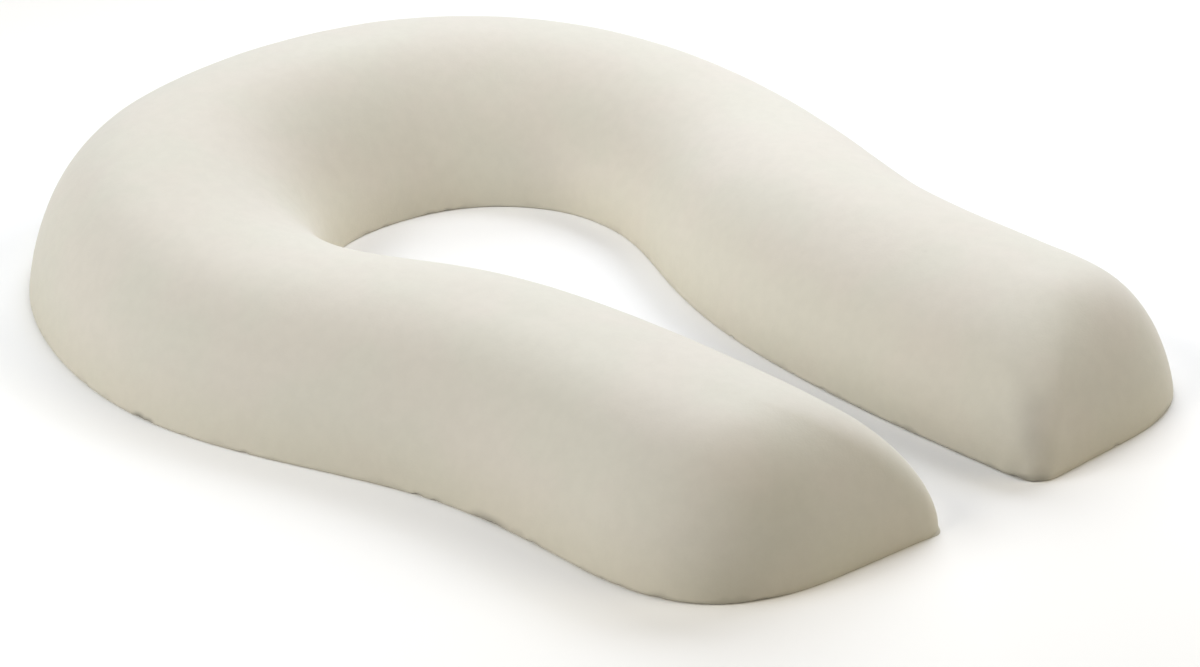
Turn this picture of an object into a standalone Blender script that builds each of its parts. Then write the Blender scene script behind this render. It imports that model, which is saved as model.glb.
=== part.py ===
"""U-shaped body pillow: one piece of moulded foam that lies on its flat underside.

Units are metres and +Z is up. The closed head of the U points to +Y and its two arms run to -Y.
The origin is the middle of the underside's bounding box. The right half is lofted from the
sections below, and a Mirror modifier adds the left half.
"""

import math

import bmesh
import bpy
import numpy as np

# A section of the right half stands on an inner and an outer foot, and its crest lies over a point
# between them. They run from the middle of the head round to the straight arm. The last row is the
# arm's end: its feet are the corners where the end face would meet the arm's sides if they were
# sharp. Outer swell is how full the outer wall is (see wall_height).
INNER_X, INNER_Y, OUTER_X, OUTER_Y, CREST_X, CREST_Y, HEIGHT, OUTER_SWELL = range(8)
SECTIONS = np.array(
    (
        # inner x, y,    outer x, y,     crest x, y,    height, outer swell
        (0.000, 0.272, 0.000, 0.543, 0.000, 0.397, 0.155, 1.80),
        (0.076, 0.258, 0.217, 0.507, 0.146, 0.382, 0.148, 1.69),
        (0.131, 0.215, 0.364, 0.389, 0.253, 0.306, 0.138, 1.50),
        (0.158, 0.153, 0.437, 0.220, 0.301, 0.187, 0.124, 1.28),
        (0.149, 0.067, 0.446, 0.057, 0.287, 0.063, 0.116, 1.06),
        (0.104, -0.041, 0.400, -0.089, 0.235, -0.062, 0.122, 1.12),
        (0.066, -0.175, 0.350, -0.221, 0.204, -0.197, 0.123, 1.32),
        (0.051, -0.347, 0.335, -0.367, 0.198, -0.357, 0.122, 1.43),
        (0.055, -0.549, 0.335, -0.537, 0.188, -0.420, 0.121, 1.43),
    )
)
END = len(SECTIONS) - 1
LAST_SECTION = END - 1

# The plan's corners at the arm's end: how far from the corner the rounding starts, what it gains
# from the foot up to the crest, and how strongly it is drawn into the corner.
OUTER_ROUNDING = 0.154
INNER_ROUNDING = 0.028
INNER_ROUNDING_GAIN = 0.090
OUTER_PULL = 0.71
INNER_PULL = 0.61

# The shape of the walls from crest to foot (see wall_height), along the arms and at their ends.
OUTER_FALL = 2.72
INNER_FALL, INNER_SWELL = 2.01, 2.12
OUTER_END_FALL, OUTER_END_SWELL = 3.25, 1.25
INNER_END_FALL, INNER_END_SWELL = 2.15, 1.70

# How finely the surface is divided.
ARM_STEPS = 42
TAIL_STEPS = 4
CORNER_STEPS = 8
END_STEPS = 5
WALL_STEPS = 13
FOOT_CROWDING = 1.5

WELD = 1e-6
MERGE = 1e-5
SHARP_ANGLE = math.radians(50)

FOAM_COLOUR = (0.76, 0.72, 0.62, 1.0)
FOAM_ROUGHNESS = 0.85


def smooth_curve(knots, at, level_start):
    """Reads a cubic spline through knots, which lie at 0, 1, 2 and so on, at the places in at.

    Its first end has no slope if level_start is true, and no curvature otherwise.
    """
    count = len(knots)
    matrix = np.zeros((count, count))
    target = np.zeros(count)
    for row in range(1, count - 1):
        matrix[row, row - 1 : row + 2] = (1, 4, 1)
        target[row] = 6 * (knots[row - 1] - 2 * knots[row] + knots[row + 1])
    if level_start:
        matrix[0, :2] = (2, 1)
        target[0] = 6 * (knots[1] - knots[0])
    else:
        matrix[0, 0] = 1
    matrix[-1, -1] = 1
    bend = np.linalg.solve(matrix, target)
    first = np.clip(at.astype(int), 0, count - 2)
    after = at - first
    before = 1 - after
    straight = before * knots[first] + after * knots[first + 1]
    bowed = (before**3 - before) * bend[first] + (after**3 - after) * bend[first + 1]
    return straight + bowed / 6


def plan_line(x_column, y_column, at):
    """Points of a line in plan that crosses the middle of the head at a right angle."""
    x = smooth_curve(SECTIONS[:, x_column], at, level_start=False)
    y = smooth_curve(SECTIONS[:, y_column], at, level_start=True)
    return np.column_stack((x, y))


def ease(share):
    """Goes from 0 to 1 and starts and stops gently."""
    return share * share * (3 - 2 * share)


def glide(share, speed):
    """Goes from 0 to 1, starting at the given speed and stopping gently."""
    return speed * share * (1 - share) ** 2 + ease(share)


def corner_curve(start, corner, stop, pull):
    """A rounded corner."""
    share = np.linspace(0, 1, CORNER_STEPS + 1)[:, None]
    rest = 1 - share
    first_handle = start + (corner - start) * pull
    second_handle = stop + (corner - stop) * pull
    middle = 3 * rest * share * (rest * first_handle + share * second_handle)
    return rest**3 * start + middle + share**3 * stop


def side_to_end(x_column, y_column, other_corner, rounding, pull):
    """One side's feet from the last section round its corner to the end face.

    Also gives each foot's place along the crest, which reaches END where the end face starts.
    """
    corner = SECTIONS[END, [x_column, y_column]]
    span = np.linalg.norm(corner - SECTIONS[LAST_SECTION, [x_column, y_column]])
    at = np.linspace(LAST_SECTION, END - rounding / span, TAIL_STEPS + 1)
    tail = plan_line(x_column, y_column, at)
    along_end = (other_corner - corner) / np.linalg.norm(other_corner - corner)
    turn = corner_curve(tail[-1], corner, corner + along_end * rounding, pull)
    feet = np.vstack((tail, turn[1:]))
    walked = np.append(0, np.cumsum(np.linalg.norm(np.diff(feet, axis=0), axis=1)))
    places = LAST_SECTION + glide(walked / walked[-1], walked[-1] / span)
    return feet, np.minimum(places, END)


def mix(first, second, share):
    return first + (second - first) * share


def wall_height(share, place, innerness):
    """The height at a share of the way from crest (0) to foot (1).

    It is crest height * (1 - share ** fall) ** (1 / swell): more fall keeps the top flat for
    longer, and more swell makes the wall steeper at its foot.
    """
    height = smooth_curve(SECTIONS[:, HEIGHT], place, level_start=True)
    outer_swell = smooth_curve(SECTIONS[:, OUTER_SWELL], place, level_start=True)
    side_fall = mix(OUTER_FALL, INNER_FALL, innerness)
    side_swell = mix(outer_swell, INNER_SWELL, innerness)
    end_fall = mix(OUTER_END_FALL, INNER_END_FALL, innerness)
    end_swell = mix(OUTER_END_SWELL, INNER_END_SWELL, innerness)
    endness = ease(np.clip(place - LAST_SECTION, 0, 1))
    fall = mix(side_fall, end_fall, endness)
    swell = mix(side_swell, end_swell, endness)
    return height * (1 - share**fall) ** (1 / swell)


def wall_ring(share):
    """The right half's points at one share of the way from crest (0) to foot (1).

    They run from the outer side of the head round the arm's end to the inner side of the head.
    """
    at = np.linspace(0, LAST_SECTION, ARM_STEPS + 1)
    outer_corner = SECTIONS[END, [OUTER_X, OUTER_Y]]
    inner_corner = SECTIONS[END, [INNER_X, INNER_Y]]
    inner_rounding = INNER_ROUNDING + INNER_ROUNDING_GAIN * (1 - share)
    outer_way, outer_places = side_to_end(
        OUTER_X, OUTER_Y, inner_corner, OUTER_ROUNDING, OUTER_PULL
    )
    inner_way, inner_places = side_to_end(
        INNER_X, INNER_Y, outer_corner, inner_rounding, INNER_PULL
    )
    # The two walls share the points of the crest.
    inner_places = mix(outer_places, inner_places, ease(share))
    across = np.linspace(0, 1, END_STEPS + 1)[1:-1]
    end_line = outer_way[-1] + (inner_way[-1] - outer_way[-1]) * across[:, None]
    end_feet = np.vstack((outer_way[1:], end_line, inner_way[:0:-1]))
    end_places = np.concatenate(
        (outer_places[1:], np.full(len(across), END), inner_places[:0:-1])
    )
    width_passed = (outer_corner[0] - end_feet[:, 0]) / (outer_corner[0] - inner_corner[0])
    end_innerness = ease(np.clip(width_passed, 0, 1))

    outer_feet = plan_line(OUTER_X, OUTER_Y, at)
    inner_feet = plan_line(INNER_X, INNER_Y, at)
    feet = np.vstack((outer_feet, end_feet, inner_feet[::-1]))
    place = np.concatenate((at, end_places, at[::-1]))
    innerness = np.concatenate((np.zeros(len(at)), end_innerness, np.ones(len(at))))
    crest = plan_line(CREST_X, CREST_Y, place)
    plan = crest + (feet - crest) * share
    return np.column_stack((plan, wall_height(share, place, innerness)))


def add_strip(mesh, lower, upper):
    """Faces between two rings that run the same way."""
    for here in range(len(lower) - 1):
        mesh.faces.new((lower[here], upper[here], upper[here + 1], lower[here + 1]))


def half_pillow():
    """The right half, open where the left half joins it at x = 0."""
    shares = 1 - np.linspace(0, 1, WALL_STEPS + 1) ** FOOT_CROWDING
    rings = [wall_ring(share) for share in shares]
    outline = rings[0]
    to_middle = (0, (outline[:, 1].max() + outline[:, 1].min()) / 2, 0)
    under_crest = rings[-1] * (1, 1, 0)

    mesh = bmesh.new()
    walls = [[mesh.verts.new(point - to_middle) for point in ring] for ring in rings]
    spine = [mesh.verts.new(point - to_middle) for point in under_crest]
    for lower, upper in zip(walls, walls[1:]):
        add_strip(mesh, lower, upper)
    add_strip(mesh, spine, walls[0])
    bmesh.ops.remove_doubles(mesh, verts=mesh.verts, dist=WELD)
    return mesh


def foam():
    material = bpy.data.materials.new("moulded_foam")
    material.use_nodes = True
    shader = material.node_tree.nodes["Principled BSDF"]
    shader.inputs["Base Color"].default_value = FOAM_COLOUR
    shader.inputs["Roughness"].default_value = FOAM_ROUGHNESS
    shader.inputs["Metallic"].default_value = 0.0
    return material


def add_pillow():
    mesh = half_pillow()
    data = bpy.data.meshes.new("pillow")
    mesh.to_mesh(data)
    mesh.free()
    data.shade_smooth()
    data.set_sharp_from_angle(angle=SHARP_ANGLE)
    data.materials.append(foam())
    pillow = bpy.data.objects.new("pillow", data)
    bpy.context.scene.collection.objects.link(pillow)
    left_half = pillow.modifiers.new("left_half", "MIRROR")
    left_half.use_mirror_merge = True
    left_half.merge_threshold = MERGE


for thing in list(bpy.data.objects):
    bpy.data.objects.remove(thing)
add_pillow()
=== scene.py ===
"""Looks of the U-shaped body pillow: its moulded foam body, a pale floor, soft light and a camera.

Units are metres in the frame of the CAD model: +Z is up, the closed head points to +Y and the two
arms to -Y. The foam body stands for the CAD node "pillow". It has the same sections, cut finer,
and adds what the foam's skin shows: a thin trim edge at the floor with nicks and a small lip,
shallow dents, slight waves and pores. Its colour also holds painted shade and painted light: a
dark line of contact shade along the floor edge and in the nicks, a yellower foot, and soft spots.
"""

import math

import bmesh
import bpy
import numpy as np
from mathutils import Matrix, Vector, noise


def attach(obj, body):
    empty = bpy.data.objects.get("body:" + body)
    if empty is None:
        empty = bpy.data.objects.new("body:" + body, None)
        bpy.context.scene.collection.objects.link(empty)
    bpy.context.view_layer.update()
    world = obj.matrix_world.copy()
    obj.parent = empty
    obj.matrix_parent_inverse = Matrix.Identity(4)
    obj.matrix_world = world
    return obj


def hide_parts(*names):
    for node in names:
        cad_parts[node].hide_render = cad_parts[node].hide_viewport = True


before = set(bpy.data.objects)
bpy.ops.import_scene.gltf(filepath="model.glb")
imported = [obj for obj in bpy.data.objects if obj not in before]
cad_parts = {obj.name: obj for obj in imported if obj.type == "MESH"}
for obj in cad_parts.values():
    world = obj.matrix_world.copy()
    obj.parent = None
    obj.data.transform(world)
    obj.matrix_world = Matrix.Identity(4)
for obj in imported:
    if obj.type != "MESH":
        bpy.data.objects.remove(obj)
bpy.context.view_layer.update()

# ---------------------------------------------------------------------------------------------
# The sections, as in the CAD model.
#
# These numbers, and those of the corners and walls below, weren't chosen by hand. A least-squares
# program fitted them to the photo's outline and shading, and they are its result, rounded.
#
# A section of the right half stands on an inner and an outer foot, and its crest lies over a point
# between them. They run from the middle of the head round to the straight arm. The last row is the
# arm's end: its feet are the corners where the end face would meet the arm's sides if they were
# sharp. Outer swell is how full the outer wall is (see wall_height).
INNER_X, INNER_Y, OUTER_X, OUTER_Y, CREST_X, CREST_Y, HEIGHT, OUTER_SWELL = range(8)
SECTIONS = np.array(
    (
        # inner x, y,    outer x, y,     crest x, y,    height, outer swell
        (0.000, 0.272, 0.000, 0.543, 0.000, 0.397, 0.155, 1.80),
        (0.076, 0.258, 0.217, 0.507, 0.146, 0.382, 0.148, 1.69),
        (0.131, 0.215, 0.364, 0.389, 0.253, 0.306, 0.138, 1.50),
        (0.158, 0.153, 0.437, 0.220, 0.301, 0.187, 0.124, 1.28),
        (0.149, 0.067, 0.446, 0.057, 0.287, 0.063, 0.116, 1.06),
        (0.104, -0.041, 0.400, -0.089, 0.235, -0.062, 0.122, 1.12),
        (0.066, -0.175, 0.350, -0.221, 0.204, -0.197, 0.123, 1.32),
        (0.051, -0.347, 0.335, -0.367, 0.198, -0.357, 0.122, 1.43),
        (0.055, -0.549, 0.335, -0.537, 0.188, -0.420, 0.121, 1.43),
    )
)
END = len(SECTIONS) - 1
LAST_SECTION = END - 1

# The plan's corners at the arm's end: how far from the corner the rounding starts, what it gains
# from the foot up to the crest, and how strongly it is drawn into the corner.
OUTER_ROUNDING = 0.154
INNER_ROUNDING = 0.028
INNER_ROUNDING_GAIN = 0.090
OUTER_PULL = 0.71
INNER_PULL = 0.61

# The shape of the walls from crest to foot (see wall_height), along the arms and at their ends.
OUTER_FALL = 2.72
INNER_FALL, INNER_SWELL = 2.01, 2.12
OUTER_END_FALL, OUTER_END_SWELL = 3.25, 1.25
INNER_END_FALL, INNER_END_SWELL = 2.15, 1.70

# How finely the surface is divided.
ARM_STEPS = 240
TAIL_STEPS = 20
CORNER_STEPS = 34
END_STEPS = 30
WALL_STEPS = 150
WALL_LEVELS = 52
FOOT_CROWDING = 1.5
WELD = 1e-6
SHARP_ANGLE = math.radians(50)

# The skin ends in a straight trim edge, which stands the moulded shape this much higher.
TRIM_HEIGHT = 0.0025

# The trim edge is drawn in at the floor, so that a thin dark line runs all along it. It is uneven.
# Along the arms it grows half as high again from ARM_FROM to ARM_TO, which are places along Y, and
# it drops to a small share of that on their end faces.
LEVEL, INSET = range(2)
EDGE_PROFILE = np.array(
    (
        # level, inset
        (0.0000, 0.0015),
        (0.0003, 0.0008),
        (0.0007, 0.0003),
        (0.0012, 0.0000),
        (0.0020, 0.0000),
    )
)
ARM_FROM, ARM_TO = -0.15, -0.35
END_FACE_FROM, END_FACE_TO = -0.530, -0.540
ARM_EDGE_GROWTH = 0.5
END_FACE_EDGE_SHARE = 0.25
EDGE_UNEVENNESS = 0.35
EDGE_WAVE = 0.030

# Nicks in the edge: place, half length along the edge, how much higher the edge is there, as a
# multiple of its profile, and how many times as light the skin is there. The nicks, and most of the
# marks further down, were picked in the photo, and a program found where they lie on the body.
# Their sizes and tones, and the places of the rest, were set one by one.
# Each nick's tone is painted shade in its recess.
NICKS = (
    # x, y, length, gain, tone
    (-0.447, 0.167, 0.003, 1.2, 0.86),
    (-0.449, 0.079, 0.005, 1.6, 0.45),
    (-0.447, 0.066, 0.004, 1.2, 0.60),
    (-0.438, 0.021, 0.003, 1.2, 0.90),
    (-0.418, -0.041, 0.003, 1.8, 0.84),
    (-0.354, -0.204, 0.003, 2.8, 0.82),
    (-0.349, -0.223, 0.003, 1.6, 0.88),
    (-0.340, -0.272, 0.008, 1.0, 0.72),
    (-0.338, -0.287, 0.008, 1.2, 0.72),
    (-0.336, -0.334, 0.005, 1.2, 0.80),
    (-0.333, -0.415, 0.003, 1.8, 0.80),
    (-0.330, -0.436, 0.002, 1.4, 0.88),
    (-0.319, -0.470, 0.004, 1.5, 0.84),
    (-0.258, -0.527, 0.003, 2.0, 0.84),
    (-0.038, 0.271, 0.005, 1.6, 0.88),
    (-0.012, 0.274, 0.003, 1.6, 0.84),
    (0.045, 0.270, 0.004, 1.6, 0.82),
    (0.064, 0.265, 0.003, 1.8, 0.80),
    (0.080, 0.259, 0.003, 1.2, 0.90),
    (0.069, -0.155, 0.002, 3.0, 0.60),
    (0.056, -0.250, 0.002, 1.6, 0.86),
    (0.053, -0.291, 0.003, 1.8, 0.82),
    (0.055, -0.524, 0.006, 1.8, 0.74),
    (0.066, -0.541, 0.006, 1.6, 0.74),
    (0.168, -0.542, 0.003, 1.8, 0.76),
)

# A lip of skin left at the inner tip of the left arm: half its length, how far it sticks out, and
# its thickness.
LIP_PLACE = (-0.070, -0.545)
LIP_LENGTH = 0.009
LIP_REACH = 0.0030
LIP_THICKNESS = 0.0025

# Shallow dents: centre, radius and depth.
DENTS = (
    # x, y, z, radius, depth
    (0.056, -0.525, 0.014, 0.009, 0.0012),
    (0.064, -0.549, 0.008, 0.006, 0.0012),
    (0.052, -0.428, 0.011, 0.008, 0.0008),
)

# Waves in the skin: (wavelength, depth). They fade out towards the floor.
WAVES = ((0.150, 0.0010), (0.048, 0.0003), (0.017, 0.00008))
WAVE_FADE_HEIGHT = 0.020

# The foam's creams: patches of a pinker and a greener one, and a yellower one towards the foot,
# which is painted shade: the warm tint of the shade near the floor.
FOAM_PINK = (0.592, 0.558, 0.490, 1.0)
FOAM_GREEN = (0.581, 0.560, 0.486, 1.0)
FOAM_FOOT_SHADE_TINT = (0.567, 0.532, 0.424, 1.0)
PATCH_WAVE = 0.085
PATCH_FROM, PATCH_TO = 0.35, 0.65
SHADE_TINT_HEIGHT = 0.060
SHADE_TINT_SHARE = 0.5

# A fine mottle darkens the skin down to this tone.
MOTTLE_WAVE = 0.012
MOTTLE_LOW = 0.975

# Painted shade: the skin's colour darkens down its last millimetres, as contact shade along the
# floor edge does, to the tones given here: round the head, along the arms' outer and inner sides,
# and on their end faces. The inner sides are those that lie nearer to the middle line than
# SLOT_EDGE_FROM. Where EDGE_NARROWING is greater, the dark line is narrower.
EDGE_SOFTNESS = 0.006
EDGE_NARROWING = (0.6, 1.6)
EDGE_SHADE_TONE = 0.86
ARM_EDGE_SHADE_TONE = 0.76
SLOT_EDGE_SHADE_TONE = 0.62
SLOT_EDGE_FROM, SLOT_EDGE_TO = 0.10, 0.25
END_FACE_EDGE_SHADE_TONE = 0.98

# The foam's fine relief and its matte gloss.
PORE_WAVE = 0.0022
LUMP_WAVE = 0.011
LUMP_SHARE = 0.7
RELIEF_HEIGHT = 0.0004
RELIEF_STRENGTH = 0.35
FOAM_ROUGHNESS = (0.72, 0.92)
FOAM_SPECULAR = 0.3
FOAM_SHEEN = 0.15
SHEEN_ROUGHNESS = 0.5

# Most of a noise's values lie between these.
NOISE_LOW, NOISE_HIGH = 0.3, 0.7

# A nick's spot of painted shade is this many times as wide as the nick, and this many times as wide
# as high. Its middle lies at this height.
NICK_SHADE_WIDTH = 2.5
NICK_SHADE_FLATNESS = 2.2
NICK_SHADE_HEIGHT = 0.0018

# Soft spots of painted shade and painted light on the skin: centre and radius, and how many times
# as light the skin is there. The first is the painted shade of a shallow dimple. The others are
# painted shade and light that the lamps here don't give, at the arms' ends, along one arm, at the
# foot of the right arm's inner corner and on the head's inner wall.
PAINTED_SHADE_AND_LIGHT_SPOTS = (
    # x, y, z, radius, tone
    (0.155, -0.317, 0.117, 0.005, 0.90),
    (0.068, -0.533, 0.028, 0.030, 0.93),
    (0.077, -0.524, 0.050, 0.030, 0.95),
    (0.055, -0.519, 0.005, 0.016, 0.88),
    (0.066, -0.541, 0.004, 0.016, 0.88),
    (0.070, -0.527, 0.040, 0.020, 0.95),
    (0.080, -0.518, 0.058, 0.020, 0.96),
    (0.091, -0.535, 0.042, 0.030, 1.04),
    (0.060, -0.508, 0.034, 0.045, 0.95),
    (0.084, -0.514, 0.062, 0.030, 0.96),
    (-0.256, -0.519, 0.033, 0.090, 0.94),
    (-0.282, -0.513, 0.004, 0.050, 0.93),
    (-0.260, -0.398, 0.113, 0.060, 0.97),
    (0.085, 0.257, 0.012, 0.090, 1.14),
)

# Camera: where it looks, from where, and through what lens. But for the height where it looks,
# these are the same program's result. It held the lens near a given length.
TARGET = Vector((-0.0210, -0.0668, 0.0025))
AZIMUTH = math.radians(-42.13)
ELEVATION = math.radians(25.18)
ROLL = math.radians(0.26)
DISTANCE = 2.953
LENS_PIXELS = 3099
IMAGE_WIDTH = 1200
SENSOR_WIDTH = 36.0

# Soft light from afar: the azimuth and height in degrees it comes from, seen from the middle, where
# azimuth 0 is -Y and 90 is +X. Each covers a wide disc of the sky. A program solved the energies
# and tints, here and in the panels below, so that the render comes near to the photo's colours.
SOFT_SUNS = (
    # name, azimuth, height, energy, tint
    ("left_key", 255, 28, 1.73, (1.00, 0.94, 0.84)),
    ("back_key", 135, 28, 2.08, (0.87, 0.92, 1.00)),
    ("front_fill", 45, 28, 1.26, (1.00, 0.90, 0.69)),
)
SUN_SPREAD = math.radians(38)

# Square panels that hang over the pillow and face down: where they hang, and their energy.
PANELS = (
    # name, x, y, energy, tint
    ("left_panel", -1.60, 0.80, 17.7, (0.83, 0.91, 1.00)),
    ("top_panel", 0.00, 0.00, 7.2, (0.90, 0.92, 1.00)),
    ("right_panel", 1.60, 0.00, 25.2, (0.83, 0.88, 1.00)),
)
PANEL_HEIGHT = 1.50
PANEL_SIDE = 0.80
WORLD_STRENGTH = 0.02

FLOOR_SIDE = 40.0
FLOOR_COLOUR = (0.88, 0.872, 0.848, 1.0)


def smooth_curve(knots, at, level_start):
    """Reads a cubic spline through knots, which lie at 0, 1, 2 and so on, at the places in at.

    Its first end has no slope if level_start is true, and no curvature otherwise.
    """
    count = len(knots)
    matrix = np.zeros((count, count))
    target = np.zeros(count)
    for row in range(1, count - 1):
        matrix[row, row - 1 : row + 2] = (1, 4, 1)
        target[row] = 6 * (knots[row - 1] - 2 * knots[row] + knots[row + 1])
    if level_start:
        matrix[0, :2] = (2, 1)
        target[0] = 6 * (knots[1] - knots[0])
    else:
        matrix[0, 0] = 1
    matrix[-1, -1] = 1
    bend = np.linalg.solve(matrix, target)
    first = np.clip(at.astype(int), 0, count - 2)
    after = at - first
    before = 1 - after
    straight = before * knots[first] + after * knots[first + 1]
    bowed = (before**3 - before) * bend[first] + (after**3 - after) * bend[first + 1]
    return straight + bowed / 6


def plan_line(x_column, y_column, at):
    """Points of a line in plan that crosses the middle of the head at a right angle."""
    x = smooth_curve(SECTIONS[:, x_column], at, level_start=False)
    y = smooth_curve(SECTIONS[:, y_column], at, level_start=True)
    return np.column_stack((x, y))


def ease(share):
    """Goes from 0 to 1 and starts and stops gently."""
    return share * share * (3 - 2 * share)


def glide(share, speed):
    """Goes from 0 to 1, starting at the given speed and stopping gently."""
    return speed * share * (1 - share) ** 2 + ease(share)


def corner_curve(start, corner, stop, pull):
    """A rounded corner."""
    share = np.linspace(0, 1, CORNER_STEPS + 1)[:, None]
    rest = 1 - share
    first_handle = start + (corner - start) * pull
    second_handle = stop + (corner - stop) * pull
    middle = 3 * rest * share * (rest * first_handle + share * second_handle)
    return rest**3 * start + middle + share**3 * stop


def side_to_end(x_column, y_column, other_corner, rounding, pull):
    """One side's feet from the last section round its corner to the end face.

    Also gives each foot's place along the crest, which reaches END where the end face starts.
    """
    corner = SECTIONS[END, [x_column, y_column]]
    span = np.linalg.norm(corner - SECTIONS[LAST_SECTION, [x_column, y_column]])
    at = np.linspace(LAST_SECTION, END - rounding / span, TAIL_STEPS + 1)
    tail = plan_line(x_column, y_column, at)
    along_end = (other_corner - corner) / np.linalg.norm(other_corner - corner)
    turn = corner_curve(tail[-1], corner, corner + along_end * rounding, pull)
    feet = np.vstack((tail, turn[1:]))
    walked = np.append(0, np.cumsum(np.linalg.norm(np.diff(feet, axis=0), axis=1)))
    places = LAST_SECTION + glide(walked / walked[-1], walked[-1] / span)
    return feet, np.minimum(places, END)


def mix(first, second, share):
    """Goes from first to second as the share goes from 0 to 1."""
    return first + (second - first) * share


def wall_height(share, place, innerness):
    """The height at a share of the way from crest (0) to foot (1).

    It is crest height * (1 - share ** fall) ** (1 / swell): more fall keeps the top flat for
    longer, and more swell makes the wall steeper at its foot.
    """
    height = smooth_curve(SECTIONS[:, HEIGHT], place, level_start=True)
    outer_swell = smooth_curve(SECTIONS[:, OUTER_SWELL], place, level_start=True)
    side_fall = mix(OUTER_FALL, INNER_FALL, innerness)
    side_swell = mix(outer_swell, INNER_SWELL, innerness)
    end_fall = mix(OUTER_END_FALL, INNER_END_FALL, innerness)
    end_swell = mix(OUTER_END_SWELL, INNER_END_SWELL, innerness)
    endness = ease(np.clip(place - LAST_SECTION, 0, 1))
    fall = mix(side_fall, end_fall, endness)
    swell = mix(side_swell, end_swell, endness)
    return height * (1 - share**fall) ** (1 / swell)


def wall_ring(share):
    """The right half's points at one share of the way from crest (0) to foot (1).

    They run from the outer side of the head round the arm's end to the inner side of the head.
    """
    at = np.linspace(0, LAST_SECTION, ARM_STEPS + 1)
    outer_corner = SECTIONS[END, [OUTER_X, OUTER_Y]]
    inner_corner = SECTIONS[END, [INNER_X, INNER_Y]]
    inner_rounding = INNER_ROUNDING + INNER_ROUNDING_GAIN * (1 - share)
    outer_way, outer_places = side_to_end(
        OUTER_X, OUTER_Y, inner_corner, OUTER_ROUNDING, OUTER_PULL
    )
    inner_way, inner_places = side_to_end(
        INNER_X, INNER_Y, outer_corner, inner_rounding, INNER_PULL
    )
    # The two walls share the points of the crest.
    inner_places = mix(outer_places, inner_places, ease(share))
    across = np.linspace(0, 1, END_STEPS + 1)[1:-1]
    end_line = outer_way[-1] + (inner_way[-1] - outer_way[-1]) * across[:, None]
    end_feet = np.vstack((outer_way[1:], end_line, inner_way[:0:-1]))
    end_places = np.concatenate(
        (outer_places[1:], np.full(len(across), END), inner_places[:0:-1])
    )
    width_passed = (outer_corner[0] - end_feet[:, 0]) / (outer_corner[0] - inner_corner[0])
    end_innerness = ease(np.clip(width_passed, 0, 1))

    outer_feet = plan_line(OUTER_X, OUTER_Y, at)
    inner_feet = plan_line(INNER_X, INNER_Y, at)
    feet = np.vstack((outer_feet, end_feet, inner_feet[::-1]))
    place = np.concatenate((at, end_places, at[::-1]))
    innerness = np.concatenate((np.zeros(len(at)), end_innerness, np.ones(len(at))))
    crest = plan_line(CREST_X, CREST_Y, place)
    plan = crest + (feet - crest) * share
    return np.column_stack((plan, wall_height(share, place, innerness)))


def whole_ring(half):
    """A half's points and their mirror images, as one loop round the whole U."""
    return np.vstack((half, half[-2:0:-1] * (-1, 1, 1)))


def loop_noise(points, wave, seed):
    """A smooth random number from -1 to 1 for each point."""
    shift = Vector((0.0, 0.0, 10.0 * seed))
    return np.array([noise.noise(Vector(point) / wave + shift) for point in points])


def wall_columns():
    """The wall's points from foot to crest, for each place round the whole U."""
    shares = 1 - np.linspace(0, 1, WALL_STEPS + 1) ** FOOT_CROWDING
    rings = [whole_ring(wall_ring(share)) for share in shares]
    return np.stack(rings, axis=1)


def read_line(points, known, wanted):
    """Points of a line, read where the rising numbers in known take the values in wanted."""
    return np.column_stack([np.interp(wanted, known, points[:, axis]) for axis in range(3)])


def bell(distance, reach):
    """Falls smoothly from 1 to 0 as the distance grows past the reach."""
    return np.exp(-((distance / reach) ** 2))


def edge_scale(foot):
    """How many times higher than its profile the lower edge is at each foot."""
    arm_share = (foot[:, 1] - ARM_FROM) / (ARM_TO - ARM_FROM)
    end_share = (foot[:, 1] - END_FACE_FROM) / (END_FACE_TO - END_FACE_FROM)
    scale = 1 + ARM_EDGE_GROWTH * ease(np.clip(arm_share, 0, 1))
    scale *= mix(1, END_FACE_EDGE_SHARE, ease(np.clip(end_share, 0, 1)))
    scale *= 1 + EDGE_UNEVENNESS * loop_noise(foot, EDGE_WAVE, seed=1)
    for x, y, length, gain, _ in NICKS:
        distance = np.hypot(foot[:, 0] - x, foot[:, 1] - y)
        scale += gain * bell(distance, length)
    return scale


def lip_reach(foot, levels):
    """How far the lip of skin sticks out at each foot and level."""
    distance = np.hypot(foot[:, 0] - LIP_PLACE[0], foot[:, 1] - LIP_PLACE[1])
    over = np.clip(1 - levels / LIP_THICKNESS, 0, 1)
    return LIP_REACH * bell(distance, LIP_LENGTH)[:, None] * ease(over)


def body_rings():
    """Loops round the whole U from the floor up to the crest."""
    columns = wall_columns()
    foot = columns[:, 0]
    # The straight trim edge runs from the foot up to where the moulded shape starts.
    columns = np.concatenate((columns[:, :1], columns + (0, 0, TRIM_HEIGHT)), axis=1)
    ahead = np.roll(foot, -1, axis=0) - np.roll(foot, 1, axis=0)
    inward = np.column_stack((ahead[:, 1], -ahead[:, 0], np.zeros(len(foot))))
    inward /= np.linalg.norm(inward, axis=1)[:, None]
    levels = edge_scale(foot)[:, None] * EDGE_PROFILE[:, LEVEL]
    insets = edge_scale(foot)[:, None] * EDGE_PROFILE[:, INSET] - lip_reach(foot, levels)
    wall_shares = np.linspace(0, 1, WALL_LEVELS + 1)[1:] ** FOOT_CROWDING

    cut_columns = []
    for column, edge_levels, edge_insets, way_in in zip(columns, levels, insets, inward):
        edge = read_line(column, column[:, 2], edge_levels) + way_in * edge_insets[:, None]
        walked = np.append(0, np.cumsum(np.linalg.norm(np.diff(column, axis=0), axis=1)))
        edge_top = np.interp(edge_levels[-1], column[:, 2], walked)
        wall = read_line(column, walked, edge_top + (walked[-1] - edge_top) * wall_shares)
        cut_columns.append(np.vstack((edge, wall)))
    return np.stack(cut_columns, axis=1)


def add_band(mesh, lower, upper):
    """Faces between two loops."""
    for here in range(len(lower)):
        there = (here + 1) % len(lower)
        mesh.faces.new((lower[here], upper[here], upper[there], lower[there]))


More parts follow.
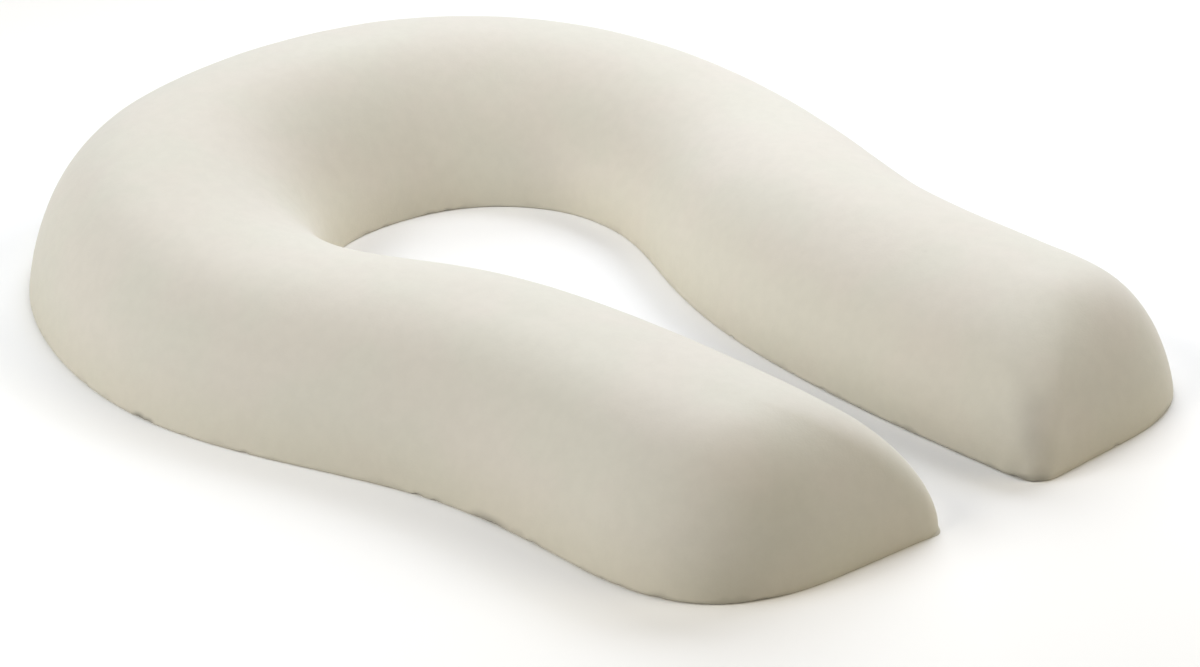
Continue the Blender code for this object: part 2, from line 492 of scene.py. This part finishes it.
def foam_body():
    """The whole body, with the middle of its underside's box in the origin, as in the CAD model."""
    rings = body_rings()
    foot = whole_ring(wall_ring(1.0))
    rings -= (0, (foot[:, 1].max() + foot[:, 1].min()) / 2, 0)
    mesh = bmesh.new()
    walls = [[mesh.verts.new(point) for point in ring] for ring in rings]
    spine = [mesh.verts.new(point) for point in rings[-1] * (1, 1, 0)]
    for lower, upper in zip(walls, walls[1:]):
        add_band(mesh, lower, upper)
    add_band(mesh, spine, walls[0])
    bmesh.ops.remove_doubles(mesh, verts=mesh.verts, dist=WELD)
    mesh.normal_update()
    shape_skin(mesh)
    data = bpy.data.meshes.new("foam_body")
    mesh.to_mesh(data)
    mesh.free()
    data.shade_smooth()
    data.set_sharp_from_angle(angle=SHARP_ANGLE)
    body = bpy.data.objects.new("foam_body", data)
    bpy.context.scene.collection.objects.link(body)
    return body


def shape_skin(mesh):
    """Moves the skin a little in and out along its normals: waves all over, and the dents."""
    for vertex in mesh.verts:
        point = vertex.co
        fade = ease(min(point.z / WAVE_FADE_HEIGHT, 1.0))
        push = fade * sum(depth * noise.noise(point / wave) for wave, depth in WAVES)
        for x, y, z, radius, depth in DENTS:
            distance = (point - Vector((x, y, z))).length
            push -= depth * bell(distance, radius)
        if point.z > 0:
            vertex.co = point + vertex.normal * push


def add_node(tree, kind, inputs=(), **settings):
    """Adds a shader node. A node's output given as an input is linked to it."""
    node = tree.nodes.new(kind)
    for name, value in settings.items():
        setattr(node, name, value)
    for name, value in dict(inputs).items():
        if isinstance(value, bpy.types.NodeSocket):
            tree.links.new(value, node.inputs[name])
        else:
            node.inputs[name].default_value = value
    return node


def add_noise(tree, place, wave, detail):
    """Noise from 0 to 1 whose waves are about as long as given."""
    inputs = {"Vector": place, "Scale": 1 / wave, "Detail": detail, "Roughness": 0.5}
    return add_node(tree, "ShaderNodeTexNoise", inputs).outputs[0]


def add_range(tree, value, start, stop, low, high):
    """Turns values from start to stop smoothly into values from low to high."""
    inputs = {"Value": value, "From Min": start, "From Max": stop, "To Min": low, "To Max": high}
    settings = {"interpolation_type": "SMOOTHSTEP"}
    return add_node(tree, "ShaderNodeMapRange", inputs, **settings).outputs[0]


def multiply(tree, first, second):
    inputs = {0: first, 1: second}
    return add_node(tree, "ShaderNodeMath", inputs, operation="MULTIPLY").outputs[0]


def mix_colour(tree, blend, share, first, second):
    inputs = {0: share, 6: first, 7: second}
    settings = {"data_type": "RGBA", "blend_type": blend}
    return add_node(tree, "ShaderNodeMix", inputs, **settings).outputs[2]


def add_painted_spot(tree, colour, place, centre, radius, tone):
    """The colour with a soft spot of painted shade or light, which fades out towards its radius."""
    inputs = {0: place, 1: centre}
    far = add_node(tree, "ShaderNodeVectorMath", inputs, operation="DISTANCE").outputs[1]
    return mix_colour(tree, "MULTIPLY", 1.0, colour, add_range(tree, far, 0.0, radius, tone, 1.0))


def painted_edge_shade(tree, place):
    """How many times as light the skin is near the floor: painted shade, a dark line along the
    edge.
    """
    across, along, level = add_node(tree, "ShaderNodeSeparateXYZ", {0: place}).outputs
    aside = add_node(tree, "ShaderNodeMath", {0: across}, operation="ABSOLUTE").outputs[0]
    side_shade_tones = (SLOT_EDGE_SHADE_TONE, ARM_EDGE_SHADE_TONE)
    side_shade_tone = add_range(tree, aside, SLOT_EDGE_FROM, SLOT_EDGE_TO, *side_shade_tones)
    arm_shade_tone = add_range(tree, along, ARM_TO, ARM_FROM, side_shade_tone, EDGE_SHADE_TONE)
    edge_shade_tone = add_range(tree, along, END_FACE_TO, END_FACE_FROM, END_FACE_EDGE_SHADE_TONE, arm_shade_tone)
    uneven = add_noise(tree, place, EDGE_WAVE, detail=2)
    narrowing = add_range(tree, uneven, NOISE_LOW, NOISE_HIGH, *EDGE_NARROWING)
    return add_range(tree, multiply(tree, level, narrowing), 0.0, EDGE_SOFTNESS, edge_shade_tone, 1.0)


def foam():
    """The material of the foam's skin."""
    material = bpy.data.materials.new("moulded_foam_skin")
    material.use_nodes = True
    tree = material.node_tree
    shader = tree.nodes["Principled BSDF"]
    place = add_node(tree, "ShaderNodeTexCoord").outputs["Object"]
    level = add_node(tree, "ShaderNodeSeparateXYZ", {0: place}).outputs[2]

    patches = add_noise(tree, place, PATCH_WAVE, detail=2)
    patches = add_range(tree, patches, PATCH_FROM, PATCH_TO, 0.0, 1.0)
    colour = mix_colour(tree, "MIX", patches, FOAM_PINK, FOAM_GREEN)
    # Painted shade: a yellower cream towards the foot, the warm tint of shade near the floor.
    foot = add_range(tree, level, 0.0, SHADE_TINT_HEIGHT, SHADE_TINT_SHARE, 0.0)
    colour = mix_colour(tree, "MIX", foot, colour, FOAM_FOOT_SHADE_TINT)
    # Painted shade: a dark line of contact shade along the floor edge.
    colour = mix_colour(tree, "MULTIPLY", 1.0, colour, painted_edge_shade(tree, place))
    mottle = add_noise(tree, place, MOTTLE_WAVE, detail=3)
    mottle = add_range(tree, mottle, NOISE_LOW, NOISE_HIGH, MOTTLE_LOW, 1.0)
    colour = mix_colour(tree, "MULTIPLY", 1.0, colour, mottle)
    # Soft spots of painted shade and painted light.
    for x, y, z, radius, tone in PAINTED_SHADE_AND_LIGHT_SPOTS:
        colour = add_painted_spot(tree, colour, place, (x, y, z), radius, tone)
    # Painted shade in each nick: a flat dark spot low on the edge.
    # Seen in a place drawn out upwards, a flat spot is as high as it is wide.
    inputs = {0: place, 1: (1.0, 1.0, NICK_SHADE_FLATNESS)}
    tall_place = add_node(tree, "ShaderNodeVectorMath", inputs, operation="MULTIPLY").outputs[0]
    for x, y, length, _, tone in NICKS:
        centre = (x, y, NICK_SHADE_FLATNESS * NICK_SHADE_HEIGHT)
        colour = add_painted_spot(tree, colour, tall_place, centre, NICK_SHADE_WIDTH * length, tone)

    # A fine open skin of pores over a barely uneven surface.
    pores = add_noise(tree, place, PORE_WAVE, detail=3)
    lumps = multiply(tree, add_noise(tree, place, LUMP_WAVE, detail=2), LUMP_SHARE)
    relief = add_node(tree, "ShaderNodeMath", {0: lumps, 1: pores}, operation="ADD").outputs[0]
    inputs = {"Strength": RELIEF_STRENGTH, "Distance": RELIEF_HEIGHT, "Height": relief}
    bump = add_node(tree, "ShaderNodeBump", inputs)
    roughness = add_range(tree, pores, NOISE_LOW, NOISE_HIGH, *FOAM_ROUGHNESS)

    tree.links.new(colour, shader.inputs["Base Color"])
    tree.links.new(roughness, shader.inputs["Roughness"])
    tree.links.new(bump.outputs[0], shader.inputs["Normal"])
    shader.inputs["Specular IOR Level"].default_value = FOAM_SPECULAR
    shader.inputs["Sheen Weight"].default_value = FOAM_SHEEN
    shader.inputs["Sheen Roughness"].default_value = SHEEN_ROUGHNESS
    return material


def add_floor():
    """A plain pale floor, which isn't part of the object."""
    mesh = bmesh.new()
    bmesh.ops.create_grid(mesh, x_segments=1, y_segments=1, size=FLOOR_SIDE / 2)
    data = bpy.data.meshes.new("floor")
    mesh.to_mesh(data)
    mesh.free()
    floor = bpy.data.objects.new("floor", data)
    bpy.context.scene.collection.objects.link(floor)
    material = bpy.data.materials.new("pale_floor")
    material.use_nodes = True
    shader = material.node_tree.nodes["Principled BSDF"]
    shader.inputs["Base Color"].default_value = FLOOR_COLOUR
    shader.inputs["Roughness"].default_value = 0.9
    shader.inputs["Specular IOR Level"].default_value = 0.0
    data.materials.append(material)


def add_camera():
    """The camera at the photo's angle."""
    back = Vector(
        (
            math.sin(AZIMUTH) * math.cos(ELEVATION),
            -math.cos(AZIMUTH) * math.cos(ELEVATION),
            math.sin(ELEVATION),
        )
    )
    right = Vector((math.cos(AZIMUTH), math.sin(AZIMUTH), 0.0))
    up = back.cross(right)
    turn = Matrix((right, up, back)).transposed() @ Matrix.Rotation(ROLL, 3, "Z")
    camera = bpy.data.objects.new("camera", bpy.data.cameras.new("camera"))
    camera.data.sensor_width = SENSOR_WIDTH
    camera.data.lens = LENS_PIXELS * SENSOR_WIDTH / IMAGE_WIDTH
    camera.data.clip_end = 100.0
    camera.matrix_world = Matrix.LocRotScale(TARGET + back * DISTANCE, turn, None)
    bpy.context.scene.collection.objects.link(camera)
    bpy.context.scene.camera = camera


def add_lamp(name, kind, energy, tint, place, toward):
    """A lamp that shines along its own -Z, so its +Z points back from what it lights."""
    data = bpy.data.lights.new(name, kind)
    data.energy = energy
    data.color = tint
    lamp = bpy.data.objects.new(name, data)
    turn = (Vector(place) - Vector(toward)).to_track_quat("Z", "Y")
    lamp.matrix_world = Matrix.LocRotScale(Vector(place), turn, None)
    lamp.visible_camera = False
    bpy.context.scene.collection.objects.link(lamp)
    return data


def add_light():
    """Soft suns, panels over the pillow, and a faint sky."""
    world = bpy.data.worlds.new("studio")
    world.use_nodes = True
    world.node_tree.nodes["Background"].inputs["Color"].default_value = (1, 1, 1, 1)
    world.node_tree.nodes["Background"].inputs["Strength"].default_value = WORLD_STRENGTH
    bpy.context.scene.world = world
    bpy.context.scene.view_settings.view_transform = "Standard"
    for name, azimuth, height, energy, tint in SOFT_SUNS:
        level_part = math.cos(math.radians(height))
        place = (
            level_part * math.sin(math.radians(azimuth)),
            -level_part * math.cos(math.radians(azimuth)),
            math.sin(math.radians(height)),
        )
        sun = add_lamp(name, "SUN", energy, tint, place, (0, 0, 0))
        sun.angle = SUN_SPREAD
    for name, x, y, energy, tint in PANELS:
        panel = add_lamp(name, "AREA", energy, tint, (x, y, PANEL_HEIGHT), (x, y, 0))
        panel.size = PANEL_SIDE


body = foam_body()
body.data.materials.append(foam())
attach(body, "root")
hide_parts("pillow")
add_floor()
add_light()
add_camera()
